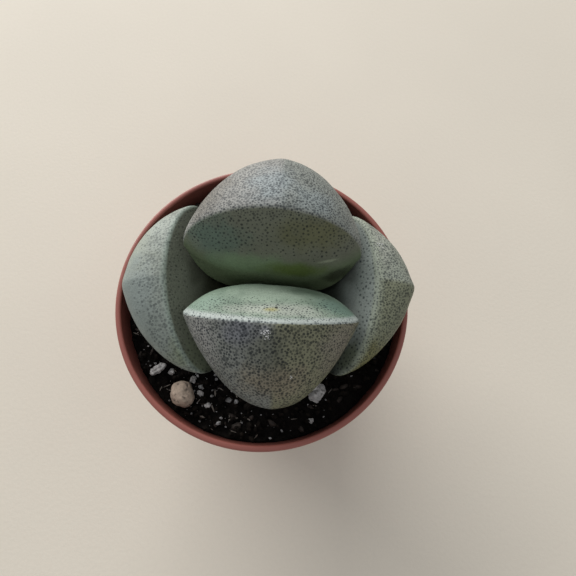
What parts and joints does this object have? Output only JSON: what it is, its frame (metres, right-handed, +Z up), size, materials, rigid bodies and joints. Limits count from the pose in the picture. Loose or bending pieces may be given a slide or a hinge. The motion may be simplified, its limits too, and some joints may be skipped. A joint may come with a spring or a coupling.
{
  "type": "potted split rock plant",
  "caption": "Split rock succulent with crossed pairs of thick speckled half-round leaves, in a round tapered terracotta-coloured nursery pot filled with dark soil.",
  "frame": {"origin": "middle of the pot's underside, on the surface it stands on", "axes": "+Z up, -Y towards the front leaf of the inner pair, +X towards the right leaf of the outer pair"},
  "size_m": [0.085, 0.085, 0.0889],
  "materials": {
    "pot_plastic": "moulded, satin, terracotta red-brown",
    "soil_mix": "moist peaty potting mix with bark",
    "crown_tissue": "matt plant tissue",
    "inner_leaf_skin": "matt grey-green leaf skin with fine dark dots",
    "outer_leaf_skin": "matt grey-green leaf skin with fine dark dots",
    "tan_stone": "dull worn stone",
    "perlite": "dull porous white grain"
  },
  "bodies": {
    "root": {"pot": "pot_plastic", "soil": "soil_mix", "crown": "crown_tissue", "leaf_back": "inner_leaf_skin", "leaf_front": "inner_leaf_skin", "leaf_left": "outer_leaf_skin", "leaf_right": "outer_leaf_skin", "pebble": "tan_stone", "perlite_1": "perlite", "perlite_2": "perlite", "perlite_3": "perlite", "perlite_4": "perlite", "perlite_5": "perlite", "perlite_6": "perlite", "perlite_7": "perlite", "perlite_8": "perlite", "perlite_9": "perlite", "perlite_10": "perlite", "perlite_11": "perlite", "perlite_12": "perlite"}
  },
  "joints": []
}
